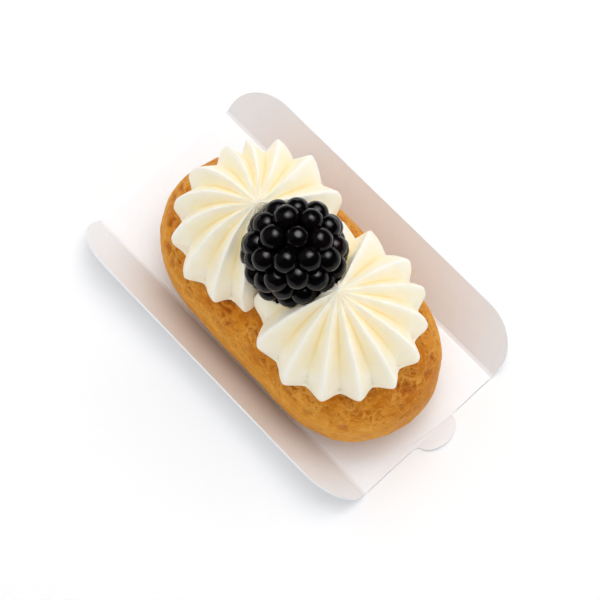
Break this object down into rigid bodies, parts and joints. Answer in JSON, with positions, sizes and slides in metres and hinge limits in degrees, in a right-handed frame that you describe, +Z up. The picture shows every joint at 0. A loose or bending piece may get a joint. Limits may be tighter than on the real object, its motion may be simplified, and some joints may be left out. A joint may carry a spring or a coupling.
{
  "type": "mini eclair",
  "caption": "Short oval choux bun topped with piped cream rosettes and a dark bramble berry, in a folded white card tray with side flaps and a pull tab.",
  "frame": {"origin": "middle of the footprint's bounding box, on the surface that the tray stands on", "axes": "+X along the length towards the tray's pull tab, +Z up"},
  "size_m": [0.0918, 0.0574, 0.0535],
  "materials": {
    "white_card": "smooth coated white card, satin",
    "choux_crust": "golden brown baked choux crust, satin, finely wrinkled",
    "vanilla_cream": "piped vanilla cream, soft satin",
    "berry_skin": "near-black glossy berry skin"
  },
  "bodies": {
    "root": {"card_tray": "white_card", "choux_bun": "choux_crust", "cream_rosette_back": "vanilla_cream", "cream_rosette_front": "vanilla_cream", "bramble_berry": "berry_skin"}
  },
  "joints": []
}
